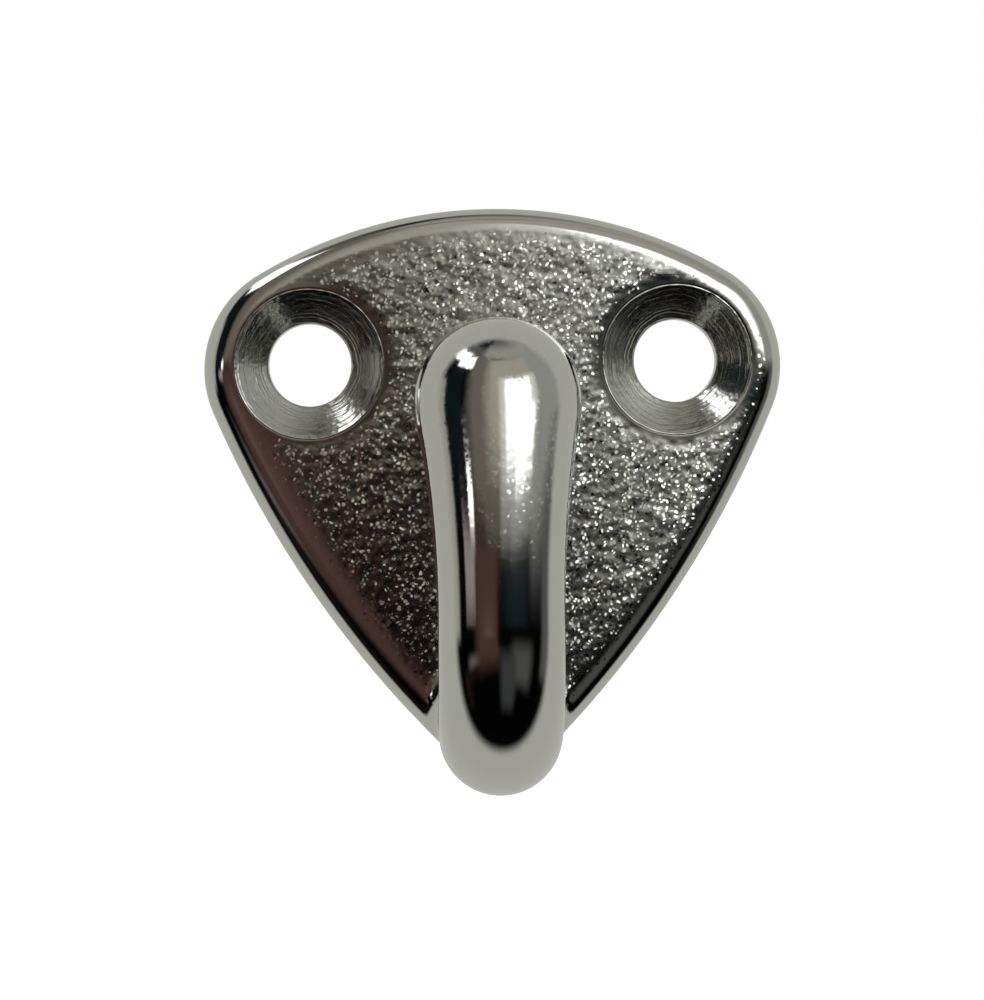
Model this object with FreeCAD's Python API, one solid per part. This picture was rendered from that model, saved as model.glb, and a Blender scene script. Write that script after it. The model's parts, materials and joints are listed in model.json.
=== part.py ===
"""Awning hook: one bright metal casting, screwed flat to a wall, coaming or boom.

Millimetres. The flat back lies in the plane Y = 0 and the hook reaches out along -Y.
+Z is up, +X is to the right, and the origin is midway between the two screw holes.
"""
import FreeCAD, Part
import math
import os
from FreeCAD import Vector

# Plate outline, with heights measured from the line through the two screw holes
corner_spacing = 18.7
corner_drop = 0.25
corner_radius = 5.65
top_height = 7.95
root_drop = 18.7
apex_radius = 2.85
side_radius = 54.5

# Plate section
plate_thickness = 3.0
rim_radius = 1.35
back_edge_chamfer = 0.25

# Countersunk screw holes
hole_spacing = 19.0
hole_diameter = 4.3
countersink_diameter = 7.85
countersink_angle = 90.0
lip_width = 0.15

# Finger of the hook: out of the plate, round a quarter bend and up to the tip
finger_diameter = 6.15
root_length = 5.0
bend_radius = 5.8
inward_radius = 36.0
upright_length = 10.9
root_fillet_radius = 1.2

# Swollen tip: a half ball on a long waist
tip_diameter = 8.15
shoulder_radius = 7.0

NAME = "awning_hook"
OUTWARD = Vector(0, -1, 0)
ALONG_X = Vector(1, 0, 0)
ALONG_Z = Vector(0, 0, 1)
TOLERANCE = 0.01
UPRIGHT_STEPS = 8


def front_point(x, z, depth=0.0):
    """A point of the front view, at a distance in front of the flat back."""
    return Vector(x, -depth, z)


def towards(start, end, distance):
    """The point at a distance from start, in the direction of end."""
    return start + (end - start).normalize() * distance


def tangent_arc(start, centre, end, radius):
    """The shorter arc about a centre between two points."""
    halfway = (start + end) * 0.5
    return Part.Arc(start, towards(centre, halfway, radius), end).toShape()


def corner_point(side):
    """The centre of an upper corner's arc, on the left (-1) or the right (1)."""
    return front_point(side * corner_spacing / 2, -corner_drop)


def apex_point():
    """The centre of the lower corner's arc, which is also where the finger grows out."""
    return front_point(0, -root_drop)


def top_arc():
    """Centre and radius of the top edge, tangent to both upper corners."""
    half = corner_spacing / 2
    rise = top_height + corner_drop
    radius = (half**2 + rise**2 - corner_radius**2) / (2 * (rise - corner_radius))
    return front_point(0, top_height - radius), radius


def side_centre(side):
    """Centre of a side edge, tangent to its upper corner and to the lower one."""
    corner = corner_point(side)
    apex = apex_point()
    from_corner = side_radius - corner_radius
    from_apex = side_radius - apex_radius
    span = (apex - corner).Length
    along = (from_corner**2 - from_apex**2 + span**2) / (2 * span)
    across = math.sqrt(from_corner**2 - along**2)
    down = (apex - corner).normalize()
    inward = down.cross(Vector(0, -side, 0))
    return corner + down * along + inward * across


def plate_outline():
    """The rounded triangle, as six tangent arcs."""
    top_centre, top_radius = top_arc()
    edges = []
    top_ends = []
    apex_ends = []
    for side in (-1, 1):
        corner = corner_point(side)
        centre = side_centre(side)
        top_end = towards(top_centre, corner, top_radius)
        side_start = towards(centre, corner, side_radius)
        side_end = towards(centre, apex_point(), side_radius)
        edges.append(tangent_arc(top_end, corner, side_start, corner_radius))
        edges.append(tangent_arc(side_start, centre, side_end, side_radius))
        top_ends.append(top_end)
        apex_ends.append(side_end)
    edges.append(tangent_arc(top_ends[0], top_centre, top_ends[1], top_radius))
    edges.append(tangent_arc(apex_ends[0], apex_point(), apex_ends[1], apex_radius))
    return Part.Wire(Part.__sortEdges__(edges))


def plate():
    """The plate with its rounded rim, without holes."""
    slab = Part.Face(plate_outline()).extrude(OUTWARD * plate_thickness)
    front = min(slab.Faces, key=lambda face: face.CenterOfMass.y)
    return slab.makeFillet(rim_radius, front.Edges)


def finger():
    """The round finger: root, quarter bend, and the upright with its swollen tip."""
    radius = finger_diameter / 2
    reach = plate_thickness + root_length
    root = Part.makeCylinder(radius, reach, apex_point(), OUTWARD)
    bend_start = front_point(0, -root_drop, reach)
    bend_centre = front_point(0, bend_radius - root_drop, reach)
    section = Part.Face(Part.Wire(Part.makeCircle(radius, bend_start, OUTWARD)))
    bend = section.revolve(bend_centre, -ALONG_X, 90)
    return root.fuse([bend, upright(), ball()])


def centreline(length):
    """A point along the upright's centreline, which curves in over the plate, and its direction."""
    lean = length / inward_radius
    foot = front_point(0, bend_radius - root_drop, plate_thickness + root_length + bend_radius)
    inward = OUTWARD * -inward_radius * (1 - math.cos(lean))
    rise = ALONG_Z * inward_radius * math.sin(lean)
    return foot + inward + rise, ALONG_Z * math.cos(lean) - OUTWARD * math.sin(lean)


def upright_radius(length):
    """Radius of the upright along its length: a long hollow from the stem, then the shoulder."""
    stem = finger_diameter / 2
    ball = tip_diameter / 2
    slope = 2 * math.atan((ball - stem) / upright_length)
    hollow_radius = upright_length / math.sin(slope) - shoulder_radius
    to_equator = upright_length - length
    if to_equator > shoulder_radius * math.sin(slope):
        return stem + hollow_radius - math.sqrt(hollow_radius**2 - length**2)
    return ball - shoulder_radius + math.sqrt(shoulder_radius**2 - to_equator**2)


def upright():
    """The upright, through round sections along its curved centreline."""
    sections = []
    for step in range(UPRIGHT_STEPS + 1):
        length = upright_length * step / UPRIGHT_STEPS
        point, direction = centreline(length)
        sections.append(Part.Wire(Part.makeCircle(upright_radius(length), point, direction)))
    return Part.makeLoft(sections, True)


def ball():
    """The half ball at the tip."""
    centre, direction = centreline(upright_length)
    return Part.makeSphere(tip_diameter / 2, centre, direction, 0, 90, 360)


def screw_hole(side):
    """What is cut away for one screw: clearance bore, cone for the head and softened lip."""
    x = side * hole_spacing / 2
    bore = hole_diameter / 2
    rim = countersink_diameter / 2
    cone_slope = math.radians(90 - countersink_angle / 2)
    lip_depth = plate_thickness - lip_width * math.tan(cone_slope / 2)
    cone_depth = lip_depth - (rim - lip_width - bore) * math.tan(cone_slope)
    corners = [
        (0, -plate_thickness),
        (bore, -plate_thickness),
        (bore, cone_depth),
        (rim - lip_width, lip_depth),
        (rim, plate_thickness),
        (rim, 2 * plate_thickness),
        (0, 2 * plate_thickness),
        (0, -plate_thickness),
    ]
    section = Part.makePolygon([front_point(x + radius, 0, depth) for radius, depth in corners])
    return Part.Face(section).revolve(front_point(x, 0), OUTWARD, 360)


def middle_of(edge):
    """The point halfway along an edge."""
    return edge.valueAt((edge.FirstParameter + edge.LastParameter) / 2)


def root_edges(solid):
    """The edges where the finger leaves the plate, which lie on the root's own cylinder."""
    found = []
    for edge in solid.Edges:
        middle = middle_of(edge)
        from_axis = math.hypot(middle.x, middle.z + root_drop)
        on_root = math.isclose(from_axis, finger_diameter / 2, abs_tol=TOLERANCE)
        on_plate = TOLERANCE < -middle.y < plate_thickness + TOLERANCE
        if on_root and on_plate:
            found.append(edge)
    return found


def back_edges(solid):
    """The edges round the flat back, before the screw holes are drilled."""
    return [edge for edge in solid.Edges if abs(middle_of(edge).y) < TOLERANCE]


def awning_hook():
    """The whole casting: plate and finger run together, then the holes are machined."""
    body = plate().fuse(finger()).removeSplitter()
    body = body.makeFillet(root_fillet_radius, root_edges(body))
    body = body.makeChamfer(back_edge_chamfer, back_edges(body))
    return body.cut([screw_hole(side) for side in (-1, 1)])


def main():
    os.makedirs("parts", exist_ok=True)
    hook = awning_hook()
    print(NAME, "valid", hook.isValid(), "solids", len(hook.Solids), "volume", round(hook.Volume, 1))
    hook.exportStep("parts/" + NAME + ".step")


main()
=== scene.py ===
import json
import math

import bpy
import numpy as np
from mathutils import Matrix, Vector


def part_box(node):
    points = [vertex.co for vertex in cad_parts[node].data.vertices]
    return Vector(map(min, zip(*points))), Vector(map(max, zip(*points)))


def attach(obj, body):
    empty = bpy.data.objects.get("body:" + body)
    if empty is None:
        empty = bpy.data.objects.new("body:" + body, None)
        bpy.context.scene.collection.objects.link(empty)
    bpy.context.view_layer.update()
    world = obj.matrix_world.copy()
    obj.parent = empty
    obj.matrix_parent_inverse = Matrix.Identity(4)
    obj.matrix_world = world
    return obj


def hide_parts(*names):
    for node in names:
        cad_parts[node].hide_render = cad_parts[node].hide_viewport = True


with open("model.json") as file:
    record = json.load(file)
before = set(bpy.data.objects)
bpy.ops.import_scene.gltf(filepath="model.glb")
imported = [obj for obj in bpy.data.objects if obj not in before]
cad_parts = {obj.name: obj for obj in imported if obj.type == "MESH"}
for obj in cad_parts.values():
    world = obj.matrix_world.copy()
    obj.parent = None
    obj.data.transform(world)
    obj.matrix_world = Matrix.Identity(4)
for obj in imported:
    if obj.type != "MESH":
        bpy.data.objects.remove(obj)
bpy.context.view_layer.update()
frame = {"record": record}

# The casting is meshed in millimetres, in the part's own axes: back at y = 0, hook along -y,
# z up, origin midway between the screw holes. Blender's own unit is the metre.
MM = 0.001
NODE = "awning_hook"

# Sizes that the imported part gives
LOWEST, HIGHEST = (np.array(corner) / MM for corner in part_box(NODE))
SCREWS = next(m for m in frame["record"]["mounts"] if m["name"] == "screw_holes")["dims"]
HOLE_X = SCREWS["spacing_x_mm"] / 2
BORE = SCREWS["hole_r_mm"]

# Plate
THICKNESS = 3.0
CROWN = 0.5
WORN_WIDTH_LEFT = 2.6
WORN_WIDTH_RIGHT = 1.6
WORN_SLOPE_LEFT = 0.2
WORN_SLOPE_RIGHT = 0.12
WORN_CHANGE = 3.0
UPPER_START = 1.0
UPPER_END = 6.0
CORNER_RADIUS = 5.65
CORNER_DROP = 0.25
SIDE_RADIUS = 54.5
APEX_RADIUS = 2.85
RIM_RADIUS = 1.35
TOP_RIM_RADIUS = 1.1
BACK_RADIUS = 0.25

# Screw holes
COUNTERSINK = 3.925
CONE_SLOPE = math.pi / 4
LIP_WIDTH = 0.15
EDGE_SOFTNESS = 0.06
WELL = 4.16
BACK_RING = 4.0

# Finger
STEM = 3.075
TIP = 4.075
SHOULDER = 7.0
UPRIGHT = 10.9
INWARD_RADIUS = 36.0
ROOT_LENGTH = 5.0
ROOT_FILLET = 1.2

# Points and radii that follow from those sizes
TOP = HIGHEST[2]
APEX = np.array([0.0, LOWEST[2] + STEM])
CORNER = np.array([HIGHEST[0] - CORNER_RADIUS, -CORNER_DROP])
TOP_RISE = TOP + CORNER_DROP
TOP_RADIUS = (CORNER[0]**2 + TOP_RISE**2 - CORNER_RADIUS**2) / (2 * (TOP_RISE - CORNER_RADIUS))
TOP_CENTRE = np.array([0.0, TOP - TOP_RADIUS])
BEND_Y = -(THICKNESS + ROOT_LENGTH)
AXIS_Y = LOWEST[1] + STEM
BEND_RADIUS = BEND_Y - AXIS_Y
BEND_Z = APEX[1] + BEND_RADIUS
INWARD_Y = AXIS_Y + INWARD_RADIUS
FULL_LEAN = UPRIGHT / INWARD_RADIUS
WAIST_SLOPE = 2 * math.atan((TIP - STEM) / UPRIGHT)
HOLLOW = UPRIGHT / math.sin(WAIST_SLOPE) - SHOULDER
BORE_LENGTH = THICKNESS - LIP_WIDTH * math.tan(CONE_SLOPE / 2) - (COUNTERSINK - LIP_WIDTH - BORE)

# Cast skin over the casting: its smooth borders, how thickly pebbles cover it and their relief
SKIN_ATTRIBUTES = ("grain", "relief")
BORDER_START = 0.7
BORDER_END = 2.3
BORDER_PER_X = 0.02
HOLE_BORDER = 0.9
SMOOTH_BACK = 0.5
GRAINY_FRONT = 2.0
FINGER_START = 0.2
FINGER_END = 2.0
FINGER_GRAIN = 0.7
FINGER_RELIEF = 0.16
PLATE_RELIEF = 0.8
RELIEF_PER_X = 0.03
RELIEF_PER_Z = 0.018
RELIEF_LIMITS = (0.3, 0.85)

# Pebbles and ripples of the cast skin, in Blender's unit
PEBBLE_SCALE = 5000.0
PEBBLE_TURN = (0.5, 0.7, 0.3)
PEBBLE_CORE = 0.2
PEBBLE_EDGE = 0.62
PEBBLE_LEVEL = (0.5, 0.5, 0.1)
PEBBLE_TILT = 0.3
DRAW_SOFTNESS = 0.15
DRIFT = 0.0003
DRIFT_SCALE = 2500.0
RIPPLE_SCALE = 1500.0
RIPPLE_BUMP = 0.00006

# Rings that the cutter left: fade below the countersink's rim and in front of the back, in mm
RING_FADE_START = 0.12
RING_FADE_END = 0.02
RING_FRONT = 1.2
RING_BACK = 0.8
RING_SCALE = 6500.0
RING_BUMP = 0.00002
WOBBLE = 0.00025
WOBBLE_SCALE = 900.0
CHATTER = 1.3
CHATTER_SCALE = 2600.0

# Metal
BRIGHT_COLOUR = (0.62, 0.63, 0.59, 1.0)
CAST_COLOUR = (0.5, 0.51, 0.47, 1.0)
BRIGHT_ROUGHNESS = 0.08
CAST_ROUGHNESS = 0.24
TURNED_ROUGHNESS = 0.12

# Camera: place in mm, turns in degrees
LENS = 113.3
SENSOR_WIDTH = 36.0
CLIP_START = 0.01
CAMERA_PLACE = (-3.53, -165.0, -4.79)
CAMERA_PAN = 1.19
CAMERA_TILT = -0.82
CAMERA_ROLL = -0.76

# Floor, in Blender's unit
FLOOR_HALF = 3.0
FLOOR_DROP = 0.03
FLOOR_GLOW = 0.7
FLOOR_COLOUR = (0.85, 0.85, 0.85, 1)
FLOOR_WHITE = (1, 1, 1, 1)

# Studio: degrees round from straight in front towards +X, degrees up, softness of both, colour.
# Each panel lies over those before it.
WHITE = (1.0, 1.0, 1.0, 1.0)
DIM_ROOM = (0.001, 0.001, 0.001, 1.0)
PALE_ROOM = (0.54, 0.535, 0.51, 1.0)
PALE_START = -0.08
PALE_END = 0.14
PANELS = {
    "ceiling": (-190, 190, 58, 95, 6, 6, (0.12, 0.12, 0.11)),
    "ceiling, right": (-34, 95, 52, 78, 12, 12, (0.4, 0.39, 0.36)),
    "ceiling, dark end": (-160, -42, 72, 95, 14, 4, (0.012, 0.012, 0.012)),
    "wall, far left": (-130, -82, -8, 24, 4, 4, (0.42, 0.41, 0.39)),
    "upper wall, left": (-45, 12, 4, 60, 9, 2.5, (0.18, 0.16, 0.135)),
    "upper wall, middle": (-18, 66, 8, 56, 11, 4, (0.46, 0.435, 0.375)),
    "wall, right": (52, 125, 1, 60, 7, 4, (0.37, 0.37, 0.355)),
    "low wall": (-26, 60, 2.7, 6.5, 5, 1.3, (0.15, 0.13, 0.105)),
    "low wall, right": (-1, 64, 2.6, 8, 3, 1.5, (0.28, 0.275, 0.25)),
    "low wall, far right": (16, 64, 2.4, 9, 4, 1.8, (0.36, 0.36, 0.34)),
    "dark screen, left": (-80, -55, 2, 38, 5, 3, (0.006, 0.01, 0.013)),
    "high lamp": (-125, -62, 48, 59, 3, 3, (3.0, 3.0, 3.0)),
    "high lamp, right end": (-75, -46, 42, 57, 3, 3, (3.0, 3.0, 3.0)),
    "glow of the main lamp": (1, 56, 7, 33, 5, 4, (0.85, 0.84, 0.8)),
    "main lamp": (10, 47, 8.5, 30, 3.5, 2.5, (2.4, 2.4, 2.4)),
    "main lamp, lower edge": (24, 52, 6, 12, 3, 1.3, (2.4, 2.4, 2.4)),
    "side strip, upper": (-54, -46, 2, 5.5, 1.2, 1.2, (2.4, 2.3, 2.3)),
    "side strip, lower": (-67, -48, -2.5, 1.5, 1.5, 1.5, (0.4, 0.32, 0.32)),
    "side board": (-66, -42, -25, -19, 6, 4, (0.2, 0.17, 0.17)),
    "brown board, low": (-78, -34, -44, -25, 4, 4, (0.03, 0.015, 0.015)),
    "right board": (76, 125, -26, 1, 6, 5, (0.12, 0.12, 0.12)),
    "brown board": (-48, -6, -45, 2.4, 9, 1.2, (0.085, 0.045, 0.038)),
    "brown board, dark part": (-7, 3, -16, -0.3, 5, 1.2, (0.008, 0.003, 0.003)),
    "brown board, bright part": (-32, -18, -9, -3, 9, 3, (0.15, 0.09, 0.085)),
    "dark below": (-75, 40, -95, -26, 16, 10, (0.001, 0.001, 0.001)),
    "grey board": (18, 55, -38, -14, 9, 7, (0.09, 0.09, 0.085)),
    "grey board, lower part": (-4, 26, -56, -20, 8, 8, (0.05, 0.055, 0.055)),
    "black gap": (-4, 12, -14, -3, 8, 3, (0.001, 0.001, 0.001)),
    "dark screen, right": (5, 44, -3.5, 0.8, 9, 1.1, (0.006, 0.014, 0.02)),
}

# Mesh
CELL = 0.18
MARGIN = 1.0
CLEAR_FRONT = -2.96
CLEAR_BACK = -2.36
NUDGE = 1e-4
SETTLE_STEPS = 4
FACE_STEPS = 8
RELAX_PASSES = 5
LEAN_LIMIT = 0.999

# Steps of a screw hole's profile, in order from the face to the back
FLAT_STEPS = 2
LIP_STEPS = 5
CONE_STEPS = 8
EDGE_STEPS = 3
BORE_STEPS = 5
BACK_STEPS = 6


def side_centre():
    """Centre of the right side edge, tangent to the upper corner and to the apex."""
    from_corner = SIDE_RADIUS - CORNER_RADIUS
    from_apex = SIDE_RADIUS - APEX_RADIUS
    span = math.dist(CORNER, APEX)
    down = (APEX - CORNER) / span
    inward = np.array([down[1], -down[0]])
    along = (from_corner**2 - from_apex**2 + span**2) / (2 * span)
    return CORNER + down * along + inward * math.sqrt(from_corner**2 - along**2)


SIDE_CENTRE = side_centre()


def turn(a, b):
    """Positive where direction b lies counterclockwise of direction a in the front view."""
    return a[0] * b[1] - a[1] * b[0]


def ramp(value, low, high):
    """Smooth rise from 0 to 1 between two values."""
    share = np.clip((value - low) / (high - low), 0, 1)
    return share * share * (3 - 2 * share)


def outline_distance(x, z):
    """Distance to the plate's outline of six tangent arcs, negative inside."""
    x = np.abs(x)
    from_side = np.hypot(x - SIDE_CENTRE[0], z - SIDE_CENTRE[1]) - SIDE_RADIUS
    from_top = np.hypot(x - TOP_CENTRE[0], z - TOP_CENTRE[1]) - TOP_RADIUS
    distance = np.maximum(from_side, from_top)
    offset = (x - CORNER[0], z - CORNER[1])
    at_corner = (turn(CORNER - SIDE_CENTRE, offset) >= 0) & (turn(offset, CORNER - TOP_CENTRE) >= 0)
    distance = np.where(at_corner, np.hypot(*offset) - CORNER_RADIUS, distance)
    offset = (x - APEX[0], z - APEX[1])
    at_apex = turn(offset, APEX - SIDE_CENTRE) >= 0
    return np.where(at_apex, np.hypot(*offset) - APEX_RADIUS, distance)


def rounded_edge(a, b, radius):
    """Where two square faces bound a body, with a round of this radius on their edge."""
    beyond = np.hypot(np.maximum(a + radius, 0), np.maximum(b + radius, 0))
    return beyond - radius + np.minimum(np.maximum(a, b) + radius, 0)


def plate_distance(x, y, z):
    """Distance to the plate, without its back face and its screw holes."""
    wall = outline_distance(x, z)
    fall = CROWN * (x / HIGHEST[0])**2
    right = ramp(x, -WORN_CHANGE, WORN_CHANGE)
    upper = ramp(z, UPPER_START, UPPER_END)
    width = WORN_WIDTH_LEFT + (WORN_WIDTH_RIGHT - WORN_WIDTH_LEFT) * right
    slope = (WORN_SLOPE_LEFT + (WORN_SLOPE_RIGHT - WORN_SLOPE_LEFT) * right) * (1 - upper)
    worn = slope / 2 / width * np.clip(wall + width, 0, width)**2
    rim = RIM_RADIUS + (TOP_RIM_RADIUS - RIM_RADIUS) * upper
    return rounded_edge(wall, -y - THICKNESS + fall + worn, rim)


def along_upright(y, z):
    """Depth from the upright's centreline, which curves in to the plate, and length along it."""
    lean = np.arctan2(z - BEND_Z, INWARD_Y - y)
    curved = lean < FULL_LEAN
    tip_y = INWARD_Y - INWARD_RADIUS * math.cos(FULL_LEAN)
    tip_z = BEND_Z + INWARD_RADIUS * math.sin(FULL_LEAN)
    beyond = (z - tip_z) * math.cos(FULL_LEAN) + (y - tip_y) * math.sin(FULL_LEAN)
    beside = (y - tip_y) * math.cos(FULL_LEAN) - (z - tip_z) * math.sin(FULL_LEAN)
    depth = np.where(curved, INWARD_RADIUS - np.hypot(INWARD_Y - y, z - BEND_Z), beside)
    return depth, np.where(curved, INWARD_RADIUS * lean, UPRIGHT + beyond)


def finger_distance(x, y, z):
    """Distance to the round finger: root, quarter bend and swollen upright."""
    root = np.hypot(x, z - APEX[1]) - STEM
    bend = np.hypot(x, np.hypot(y - BEND_Y, z - BEND_Z) - BEND_RADIUS) - STEM
    depth, length = along_upright(y, z)
    across = np.hypot(x, depth)
    ball = np.hypot(across, length - UPRIGHT) - TIP
    shoulder = np.hypot(across + SHOULDER - TIP, length - UPRIGHT) - SHOULDER
    hollow = HOLLOW - np.hypot(across - STEM - HOLLOW, length)
    on_shoulder = UPRIGHT - length <= math.tan(WAIST_SLOPE) * (across + SHOULDER - TIP)
    upright = np.where(length > 0, hollow, across - STEM)
    upright = np.where(on_shoulder, shoulder, upright)
    upright = np.where(length > UPRIGHT, ball, upright)
    beside_root = np.where(z > BEND_Z, np.minimum(root, upright), root)
    past_root = np.where(z > BEND_Z, upright, bend)
    return np.where(y > BEND_Y, beside_root, past_root)


def gradient(distance, point):
    """Gradient of a distance function at the points, by central differences."""
    slopes = []
    for axis in range(3):
        ahead = [c + NUDGE * (axis == i) for i, c in enumerate(point)]
        behind = [c - NUDGE * (axis == i) for i, c in enumerate(point)]
        slopes.append((distance(*ahead) - distance(*behind)) / (2 * NUDGE))
    return np.array(slopes)


def body_distance(x, y, z):
    """Distance to the casting before drilling, with the fillet at the finger's root."""
    plate = plate_distance(x, y, z)
    finger = finger_distance(x, y, z)
    union = np.minimum(plate, finger)
    near = (plate < ROOT_FILLET) & (finger < ROOT_FILLET) & (union > -ROOT_FILLET)
    point = (x[near], y[near], z[near])
    lean = np.sum(gradient(plate_distance, point) * gradient(finger_distance, point), axis=0)
    lean = np.clip(lean, -LEAN_LIMIT, LEAN_LIMIT)
    u = ROOT_FILLET - plate[near]
    v = ROOT_FILLET - finger[near]
    in_fillet = (u > lean * v) & (v > lean * u)
    from_ball = np.sqrt((u**2 + v**2 - 2 * lean * u * v) / (1 - lean**2))
    union[near] = np.where(in_fillet, ROOT_FILLET - from_ball, union[near])
    return rounded_edge(union, y, BACK_RADIUS)


def surfaces(x, y, z):
    """Distances to the body and to a round well left open about each screw hole."""
    return np.stack([body_distance(x, y, z), WELL - np.hypot(np.abs(x) - HOLE_X, z)])


def grid_lines():
    """The grid's lines along x, y and z, with none in y where the sloping face meets a well."""
    x, _, z = (np.arange(low - MARGIN, high + MARGIN, CELL) for low, high in zip(LOWEST, HIGHEST))
    before = np.arange(CLEAR_FRONT, LOWEST[1] - MARGIN, -CELL)[::-1]
    behind = np.arange(CLEAR_BACK, HIGHEST[1] + MARGIN, CELL)
    return [x, np.concatenate([before, behind]), z]


def crossings(lines, layers):
    """Where grid edges pass through the surface: point, surface, and the four cells around."""
    solid = layers.max(axis=0) < 0
    shape = np.array(solid.shape)
    found = []
    for axis in range(3):
        step = np.eye(3, dtype=int)[axis]
        inner = tuple(slice(0, n - s) for n, s in zip(shape, step))
        outer = tuple(slice(s, n) for n, s in zip(shape, step))
        start = np.argwhere(solid[inner] != solid[outer])
        end = start + step
        here = layers[:, start[:, 0], start[:, 1], start[:, 2]]
        there = layers[:, end[:, 0], end[:, 1], end[:, 2]]
        whole_here = here.max(axis=0)
        share = whole_here / (whole_here - there.max(axis=0))
        label = (here + share * (there - here)).argmax(axis=0)
        low, high = (
            np.stack([lines[i][at[:, i]] for i in range(3)], axis=1) for at in (start, end)
        )
        point = low + share[:, None] * (high - low)
        b, c = np.roll(np.eye(3, dtype=int), -axis - 1, axis=0)[:2]
        ring = np.stack([start - b - c, start - c, start, start - b], axis=1)
        ring[whole_here > 0] = ring[whole_here > 0][:, ::-1]
        found.append((point, label, ring))
    return [np.concatenate(parts) for parts in zip(*found)], shape


def surface_net(lines, layers):
    """Quads around every crossing, with one vertex in each cell that the surface enters."""
    (point, label, ring), shape = crossings(lines, layers)
    flat = ring[..., 0] * shape[1] * shape[2] + ring[..., 1] * shape[2] + ring[..., 2]
    cells, quads = np.unique(flat, return_inverse=True)
    quads = quads.reshape(flat.shape)
    count = np.bincount(quads.ravel(), minlength=len(cells))
    repeated = np.repeat(point, 4, axis=0)
    vertices = [np.bincount(quads.ravel(), repeated[:, i], len(cells)) / count for i in range(3)]
    touches = np.zeros((len(cells), 2), dtype=bool)
    for surface in range(2):
        touches[quads[label == surface].ravel(), surface] = True
    return np.stack(vertices, axis=1), quads, label, touches


def settle(vertices, touches, steps):
    """Moves each vertex onto its surface, or onto both surfaces where two meet in an edge."""
    for _ in range(steps):
        point = tuple(vertices.T)
        height = np.where(touches, surfaces(*point).T, 0.0)
        slope = gradient(surfaces, point).transpose(2, 1, 0) * touches[:, :, None]
        system = slope @ slope.transpose(0, 2, 1) + np.eye(2) * ~touches[:, :, None]
        push = np.linalg.solve(system, height[:, :, None])
        vertices = vertices - (slope.transpose(0, 2, 1) @ push)[:, :, 0]
    return vertices


def links(quads, label):
    """Pairs of neighbours: all of them, with a mark on those that run along a true edge."""
    pairs = np.stack([quads, np.roll(quads, -1, axis=1)], axis=2).reshape(-1, 2)
    pairs.sort(axis=1)
    unique, index = np.unique(pairs, axis=0, return_inverse=True)
    index = index.ravel()
    highest = np.zeros(len(unique), dtype=int)
    lowest = np.full(len(unique), label.max())
    np.maximum.at(highest, index, np.repeat(label, 4))
    np.minimum.at(lowest, index, np.repeat(label, 4))
    return unique, highest != lowest


def relax(vertices, quads, label, touches):
    """Evens out the quads, with edge vertices kept on their edges."""
    pairs, along_edge = links(quads, label)
    on_edge = touches.sum(axis=1) > 1
    ways = np.concatenate([pairs, pairs[:, ::-1]])
    edge_way = np.concatenate([along_edge, along_edge])
    ways = ways[edge_way | ~on_edge[ways[:, 0]]]
    count = np.maximum(np.bincount(ways[:, 0], minlength=len(vertices)), 1)
    for _ in range(RELAX_PASSES):
        mean = [np.bincount(ways[:, 0], vertices[ways[:, 1], i], len(vertices)) for i in range(3)]
        vertices = (vertices + np.stack(mean, axis=1) / count[:, None]) / 2
        vertices = settle(vertices, touches, 1)
    return settle(vertices, touches, 1)


def rounded_corner(before, corner, after, radius, steps):
    """Points of a round on the corner between two straight lines."""
    back = (before - corner) / math.dist(before, corner)
    ahead = (after - corner) / math.dist(after, corner)
    half_angle = math.acos(back @ ahead) / 2
    centre = corner + (back + ahead) / np.linalg.norm(back + ahead) * radius / math.sin(half_angle)
    reach = radius / math.tan(half_angle)
    share = np.linspace(0, 1, steps + 1)[:, None]
    first = corner + back * reach - centre
    last = corner + ahead * reach - centre
    spoke = first * (1 - share) + last * share
    return centre + radius * spoke / np.linalg.norm(spoke, axis=1)[:, None]


def between(start, end, steps):
    """Points inside a straight line, without its ends."""
    share = np.linspace(0, 1, steps + 1)[1:-1, None]
    return start * (1 - share) + end * share


def hole_profile():
    """Radius and y of a screw hole: face, softened lip, countersink, bore and flat back."""
    tangent = LIP_WIDTH / (1 + math.cos(CONE_SLOPE))
    face = np.array([WELL, -THICKNESS])
    rim = np.array([COUNTERSINK - tangent, -THICKNESS])
    throat = np.array([BORE, -BORE_LENGTH])
    mouth = np.array([BORE, 0.0])
    back = np.array([BACK_RING, 0.0])
    lip = rounded_corner(face, rim, throat, tangent / math.tan(CONE_SLOPE / 2), LIP_STEPS)
    inner = rounded_corner(rim, throat, mouth, EDGE_SOFTNESS, EDGE_STEPS)
    outer = rounded_corner(throat, mouth, back, EDGE_SOFTNESS, EDGE_STEPS)
    return np.concatenate([
        between(face, lip[0], FLAT_STEPS), lip,
        between(lip[-1], inner[0], CONE_STEPS), inner,
        between(inner[-1], outer[0], BORE_STEPS), outer,
        between(outer[-1], back, BACK_STEPS), back[None],
    ])


def face_height(x, z):
    """The y of the plate's face."""
    y = np.full(x.shape, -THICKNESS)
    for _ in range(FACE_STEPS):
        y = y + plate_distance(x, y, z)
    return y


def loop_about(vertices, open_edge, side):
    """Vertices of one open edge about a hole, in order of angle, and their angles."""
    index = np.flatnonzero(open_edge & (vertices[:, 0] * side > 0))
    angle = np.arctan2(vertices[index, 2], vertices[index, 0] - side * HOLE_X)
    order = angle.argsort()
    return index[order], angle[order]


def ring_quads(rows):
    """Quads between closed rows of vertices, given as rows of numbers."""
    ahead = np.roll(rows, -1, axis=1)
    return np.stack([rows[:-1], ahead[:-1], ahead[1:], rows[1:]], axis=2).reshape(-1, 4)


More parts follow.
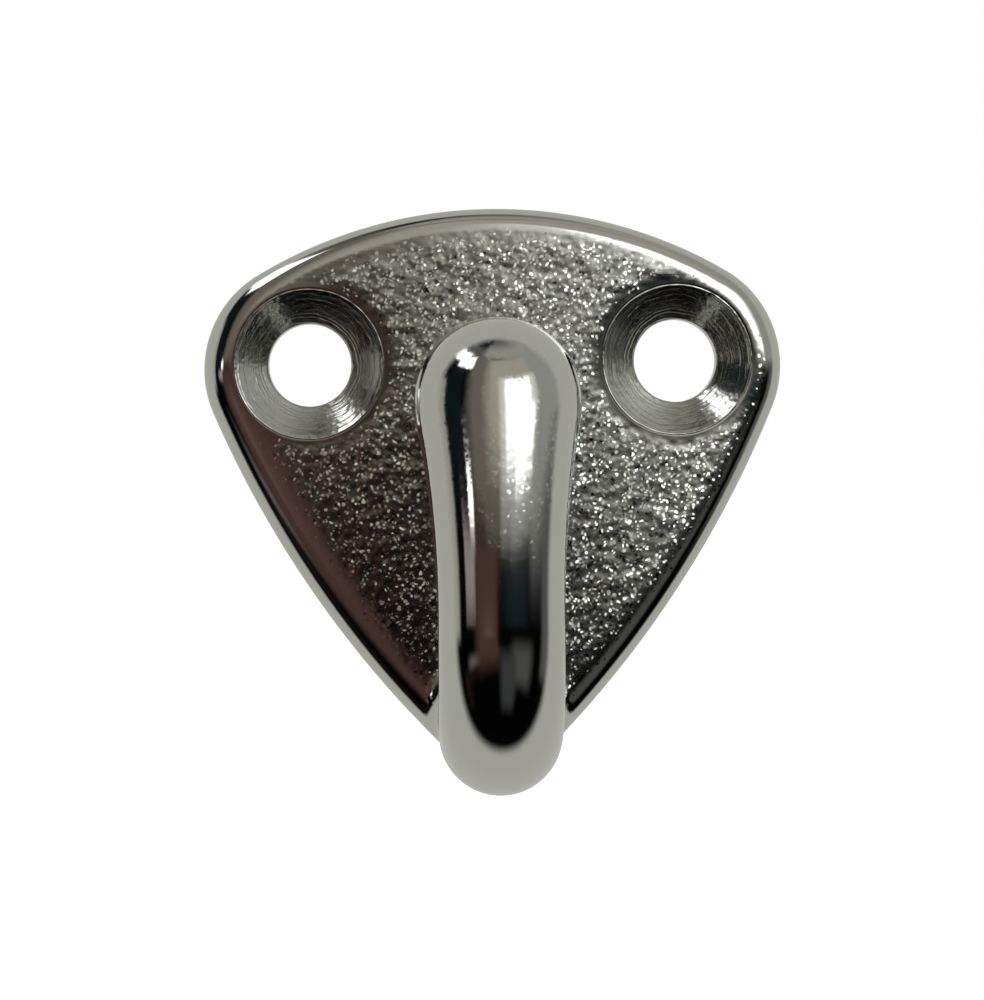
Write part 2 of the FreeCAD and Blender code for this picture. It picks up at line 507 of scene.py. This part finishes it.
def joining_triangles(first, first_angle, second, second_angle):
    """Triangles between two closed loops about one axis."""
    first_angle = [*first_angle, first_angle[0] + 2 * math.pi]
    second_angle = [*second_angle, second_angle[0] + 2 * math.pi]
    first = [*first, first[0]]
    second = [*second, second[0]]
    faces = []
    i = j = 0
    while i < len(first) - 1 or j < len(second) - 1:
        first_done = i == len(first) - 1
        second_done = j == len(second) - 1
        if second_done or not first_done and first_angle[i + 1] <= second_angle[j + 1]:
            faces.append((first[i], first[i + 1], second[j]))
            i += 1
        else:
            faces.append((first[i], second[j + 1], second[j]))
            j += 1
    return faces


def screw_hole(vertices, open_edge, side):
    """Rings of a screw hole, from the open edge on the face to the one on the back."""
    front, front_angle = loop_about(vertices, open_edge & (vertices[:, 1] < -BORE_LENGTH), side)
    back, back_angle = loop_about(vertices, open_edge & (vertices[:, 1] > -BORE_LENGTH), side)
    profile = hole_profile()
    radius, y = (np.repeat(column[:, None], len(front), axis=1) for column in profile.T)
    axis_x = side * HOLE_X
    x = axis_x + radius * np.cos(front_angle)
    z = radius * np.sin(front_angle)
    on_face = (np.hypot(x - axis_x, z) > COUNTERSINK) & (y < -BORE_LENGTH)
    rim_x = axis_x + COUNTERSINK * np.cos(front_angle)
    rim_height = face_height(rim_x, COUNTERSINK * np.sin(front_angle))
    share = np.clip((-BORE_LENGTH - y) / (THICKNESS - BORE_LENGTH), 0, 1)
    y = np.where(on_face, face_height(x, z), y + (rim_height + THICKNESS) * share)
    rows = len(vertices) + np.arange(radius.size).reshape(radius.shape)
    quads = ring_quads(np.concatenate([front[None], rows]))
    faces = joining_triangles(rows[-1], front_angle, back, back_angle)
    return np.stack([x.ravel(), y.ravel(), z.ravel()], axis=1), quads.tolist() + faces


def cast_surface(vertices):
    """How thickly the cast pebbles cover each vertex, and how far they stand out there."""
    x, y, z = vertices.T
    from_wall = -outline_distance(x, z)
    from_hole = np.hypot(np.abs(x) - HOLE_X, z) - COUNTERSINK
    polished = 1.0 - BORDER_PER_X * x
    on_plate = ramp(from_wall, BORDER_START * polished, BORDER_END * polished)
    on_plate = on_plate * ramp(from_hole, 0.0, HOLE_BORDER)
    on_plate = on_plate * ramp(-y, SMOOTH_BACK, GRAINY_FRONT)
    on_finger = ramp(-y, THICKNESS + FINGER_START, THICKNESS + FINGER_END)
    upper = ramp(z, BEND_Z, BEND_Z + UPRIGHT)
    grain = on_plate * (1 - on_finger) + FINGER_GRAIN * upper * on_finger
    relief = np.clip(PLATE_RELIEF + RELIEF_PER_X * x + RELIEF_PER_Z * z, *RELIEF_LIMITS)
    return grain, relief * (1 - on_finger) + FINGER_RELIEF * on_finger


def without_spares(vertices, faces):
    """The mesh without the vertices that no face uses."""
    used = np.zeros(len(vertices), dtype=bool)
    for face in faces:
        used[list(face)] = True
    number = np.cumsum(used) - 1
    return vertices[used], [[int(number[corner]) for corner in face] for face in faces]


def hook_mesh():
    """The whole casting as one closed mesh in metres: quads, and triangles behind the holes."""
    lines = grid_lines()
    layers = surfaces(*np.meshgrid(*lines, indexing="ij"))
    vertices, quads, label, touches = surface_net(lines, layers)
    vertices = settle(vertices, touches, SETTLE_STEPS)
    vertices = relax(vertices, quads, label, touches)
    open_edge = touches.all(axis=1)
    faces = quads[label == 0]
    faces = faces[~open_edge[faces].all(axis=1)]
    open_edge &= np.isin(np.arange(len(vertices)), faces)
    faces = faces.tolist()
    for side in (-1, 1):
        still_open = np.pad(open_edge, (0, len(vertices) - len(open_edge)))
        added, hole_faces = screw_hole(vertices, still_open, side)
        vertices = np.concatenate([vertices, added])
        faces += hole_faces
    vertices = np.clip(vertices, LOWEST, HIGHEST)
    vertices, faces = without_spares(vertices, faces)
    mesh = bpy.data.meshes.new("hook_casting")
    mesh.from_pydata((vertices * MM).tolist(), [], faces)
    for name, value in zip(SKIN_ATTRIBUTES, cast_surface(vertices)):
        mesh.attributes.new(name, "FLOAT", "POINT").data.foreach_set("value", value)
    mesh.shade_smooth()
    return mesh


def node(tree, kind, inputs=(), **settings):
    """A shader node, with numbers, colours or sockets for its inputs, in order or by name."""
    made = tree.nodes.new(kind)
    for name, value in settings.items():
        setattr(made, name, value)
    pairs = inputs.items() if isinstance(inputs, dict) else enumerate(inputs)
    for name, value in pairs:
        if isinstance(value, bpy.types.NodeSocket):
            tree.links.new(value, made.inputs[name])
        elif value is not None:
            made.inputs[name].default_value = value
    return made


def calculate(tree, operation, *inputs):
    """The result of one sum, product or comparison."""
    return node(tree, "ShaderNodeMath", inputs, operation=operation).outputs[0]


def rescale(tree, value, from_low, from_high, to_low, to_high):
    """A smooth step from one range of values to another."""
    inputs = (value, from_low, from_high, to_low, to_high)
    return node(tree, "ShaderNodeMapRange", inputs, interpolation_type="SMOOTHSTEP").outputs[0]


def blend(tree, share, below, above):
    """One colour laid over another by a share."""
    return node(tree, "ShaderNodeMix", {0: share, 6: below, 7: above}, data_type="RGBA").outputs[2]


def combine(tree, operation, *inputs):
    """The result of one sum, product or scaling of vectors."""
    return node(tree, "ShaderNodeVectorMath", inputs, operation=operation).outputs[0]


def noise(tree, place, scale, detail):
    """Soft noise at a place: its value and its colour."""
    inputs = {"Vector": place, "Scale": scale, "Detail": detail}
    return node(tree, "ShaderNodeTexNoise", inputs).outputs[:2]


def empty_tree(owner):
    """The cleared node tree of a material or world."""
    owner.use_nodes = True
    owner.node_tree.nodes.clear()
    return owner.node_tree


def from_hole_axis(tree, x, z):
    """Distance from the nearer screw hole's axis, in metres."""
    beside = calculate(tree, "SUBTRACT", calculate(tree, "ABSOLUTE", x), HOLE_X * MM)
    square = calculate(tree, "MULTIPLY", beside, beside)
    square = calculate(tree, "MULTIPLY_ADD", z, z, square)
    return calculate(tree, "SQRT", square)


def turning_marks(tree, place):
    """Uneven broken rings that the cutter left in the countersinks, and where they are."""
    x, y, z = node(tree, "ShaderNodeSeparateXYZ", (place,)).outputs
    radius = from_hole_axis(tree, x, z)
    wobble = noise(tree, place, WOBBLE_SCALE, 1.0)[0]
    along = {"W": calculate(tree, "MULTIPLY_ADD", wobble, WOBBLE, radius), "Scale": RING_SCALE}
    uneven = node(tree, "ShaderNodeTexNoise", along, noise_dimensions="1D").outputs[0]
    chatter = noise(tree, place, CHATTER_SCALE, 1.0)[0]
    height = calculate(tree, "MULTIPLY_ADD", chatter, CHATTER, uneven)
    fade_start = (COUNTERSINK - RING_FADE_START) * MM
    fade_end = (COUNTERSINK - RING_FADE_END) * MM
    inside = rescale(tree, radius, fade_start, fade_end, 1.0, 0.0)
    in_front = rescale(tree, y, -RING_FRONT * MM, -RING_BACK * MM, 1.0, 0.0)
    inside = calculate(tree, "MULTIPLY", inside, in_front)
    return calculate(tree, "MULTIPLY", height, inside), inside


def cast_skin(tree, place, grain, relief):
    """The cast skin: where its small pebbles are, which way they lean, and its soft ripples."""
    drift = noise(tree, place, DRIFT_SCALE, 0.0)[1]
    moved = combine(tree, "ADD", place, combine(tree, "MULTIPLY", drift, (DRIFT,) * 3))
    moved = node(tree, "ShaderNodeMapping", {"Vector": moved, "Rotation": PEBBLE_TURN}).outputs[0]
    cells = {"Vector": moved, "Scale": PEBBLE_SCALE}
    pebble, chance = node(tree, "ShaderNodeTexVoronoi", cells).outputs[:2]
    draw = node(tree, "ShaderNodeSeparateXYZ", (chance,)).outputs[1]
    fewest = calculate(tree, "SUBTRACT", grain, DRAW_SOFTNESS)
    present = rescale(tree, draw, fewest, grain, 1.0, 0.0)
    dot = rescale(tree, pebble, PEBBLE_CORE, PEBBLE_EDGE, 1.0, 0.0)
    dot = calculate(tree, "MULTIPLY", dot, present)
    height = calculate(tree, "MULTIPLY", dot, relief)
    lean = combine(tree, "SUBTRACT", chance, PEBBLE_LEVEL)
    steepness = calculate(tree, "MULTIPLY", height, PEBBLE_TILT)
    tilt = combine(tree, "SCALE", lean, None, None, steepness)
    return dot, tilt, noise(tree, place, RIPPLE_SCALE, 1.0)[0]


def bright_metal():
    """Bright plating over a cast skin: pebbled where cast, smooth where polished or turned."""
    material = bpy.data.materials.new("bright_metal")
    tree = empty_tree(material)
    place = node(tree, "ShaderNodeTexCoord").outputs["Object"]
    grain, relief = (
        node(tree, "ShaderNodeAttribute", attribute_name=name).outputs["Fac"]
        for name in SKIN_ATTRIBUTES
    )
    dot, tilt, ripple = cast_skin(tree, place, grain, relief)
    rings, turned = turning_marks(tree, place)
    rough_cast = calculate(tree, "MULTIPLY", grain, relief)
    cast = {"Distance": RIPPLE_BUMP, "Height": calculate(tree, "MULTIPLY", ripple, rough_cast)}
    cast = node(tree, "ShaderNodeBump", cast).outputs[0]
    machined = {"Distance": RING_BUMP, "Height": rings, "Normal": cast}
    machined = node(tree, "ShaderNodeBump", machined).outputs[0]
    dull = calculate(tree, "MULTIPLY", calculate(tree, "SUBTRACT", 1.0, dot), rough_cast)
    roughness = calculate(tree, "MULTIPLY", dull, relief)
    roughness = calculate(tree, "MULTIPLY_ADD", roughness, CAST_ROUGHNESS, BRIGHT_ROUGHNESS)
    roughness = calculate(tree, "MULTIPLY_ADD", turned, TURNED_ROUGHNESS, roughness)
    shader = node(tree, "ShaderNodeBsdfPrincipled", {
        "Base Color": blend(tree, dull, BRIGHT_COLOUR, CAST_COLOUR),
        "Metallic": 1.0,
        "Roughness": roughness,
        "Normal": combine(tree, "NORMALIZE", combine(tree, "ADD", machined, tilt)),
    })
    node(tree, "ShaderNodeOutputMaterial", shader.outputs[:1])
    return material


def casting():
    """The casting in place of the plain solid."""
    piece = bpy.data.objects.new("hook_casting", hook_mesh())
    bpy.context.collection.objects.link(piece)
    piece.data.materials.append(bright_metal())
    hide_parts(NODE)
    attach(piece, "root")


def camera():
    """The photograph's camera, in line with the finger."""
    data = bpy.data.cameras.new("camera")
    data.lens = LENS
    data.sensor_width = SENSOR_WIDTH
    data.sensor_fit = "AUTO"
    data.clip_start = CLIP_START
    item = bpy.data.objects.new("camera", data)
    pan, tilt, roll = (math.radians(turned) for turned in (CAMERA_PAN, CAMERA_TILT, CAMERA_ROLL))
    forward = Vector((
        math.sin(pan) * math.cos(tilt),
        math.cos(pan) * math.cos(tilt),
        math.sin(tilt),
    ))
    right = forward.cross(Vector((0, 0, 1))).normalized()
    up = right.cross(forward)
    rolled_right = right * math.cos(roll) + up * math.sin(roll)
    rolled_up = up * math.cos(roll) - right * math.sin(roll)
    axes = Matrix((rolled_right, rolled_up, -forward)).transposed()
    item.matrix_world = Matrix.Translation(Vector(CAMERA_PLACE) * MM) @ axes.to_4x4()
    bpy.context.collection.objects.link(item)
    bpy.context.scene.camera = item


def band(tree, angle, low, high, soft):
    """Share of 1 between two angles, with soft edges."""
    rise = rescale(tree, angle, low - soft, low + soft, 0.0, 1.0)
    fall = rescale(tree, angle, high - soft, high + soft, 1.0, 0.0)
    return calculate(tree, "MULTIPLY", rise, fall)


def surroundings():
    """A pale room behind the hook and a dim one in front, with soft lamps, boards and screens."""
    world = bpy.data.worlds.new("studio")
    bpy.context.scene.world = world
    tree = empty_tree(world)
    way = node(tree, "ShaderNodeTexCoord").outputs["Generated"]
    x, y, z = node(tree, "ShaderNodeSeparateXYZ", (way,)).outputs
    ahead = calculate(tree, "MULTIPLY", y, -1.0)
    across = calculate(tree, "DEGREES", calculate(tree, "ARCTAN2", x, ahead))
    up = calculate(tree, "DEGREES", calculate(tree, "ARCSINE", z))
    colour = DIM_ROOM
    for left, right, low, high, soft_across, soft_up, paint in PANELS.values():
        share = band(tree, across, left, right, soft_across)
        share = calculate(tree, "MULTIPLY", share, band(tree, up, low, high, soft_up))
        colour = blend(tree, share, colour, (*paint, 1.0))
    behind = rescale(tree, y, PALE_START, PALE_END, 0.0, 1.0)
    colour = blend(tree, behind, colour, PALE_ROOM)
    to_camera = node(tree, "ShaderNodeLightPath").outputs["Is Camera Ray"]
    colour = blend(tree, to_camera, colour, WHITE)
    background = node(tree, "ShaderNodeBackground", (colour, 1.0))
    node(tree, "ShaderNodeOutputWorld", background.outputs[:1])


def floor():
    """A plain pale floor, well below the hook."""
    mesh = bpy.data.meshes.new("floor")
    height = LOWEST[2] * MM - FLOOR_DROP
    square = ((-1, -1), (1, -1), (1, 1), (-1, 1))
    corners = [(x * FLOOR_HALF, y * FLOOR_HALF, height) for x, y in square]
    mesh.from_pydata(corners, [], [(0, 1, 2, 3)])
    item = bpy.data.objects.new("floor", mesh)
    bpy.context.collection.objects.link(item)
    material = bpy.data.materials.new("floor")
    tree = empty_tree(material)
    to_camera = node(tree, "ShaderNodeLightPath").outputs["Is Camera Ray"]
    glow = calculate(tree, "MULTIPLY", to_camera, FLOOR_GLOW)
    glow = node(tree, "ShaderNodeEmission", (FLOOR_WHITE, glow)).outputs[0]
    paint = node(tree, "ShaderNodeBsdfDiffuse", (FLOOR_COLOUR,)).outputs[0]
    both = node(tree, "ShaderNodeAddShader", (glow, paint))
    node(tree, "ShaderNodeOutputMaterial", both.outputs[:1])
    mesh.materials.append(material)
    item.visible_glossy = False


casting()
floor()
surroundings()
camera()
bpy.context.scene.view_settings.view_transform = "Standard"
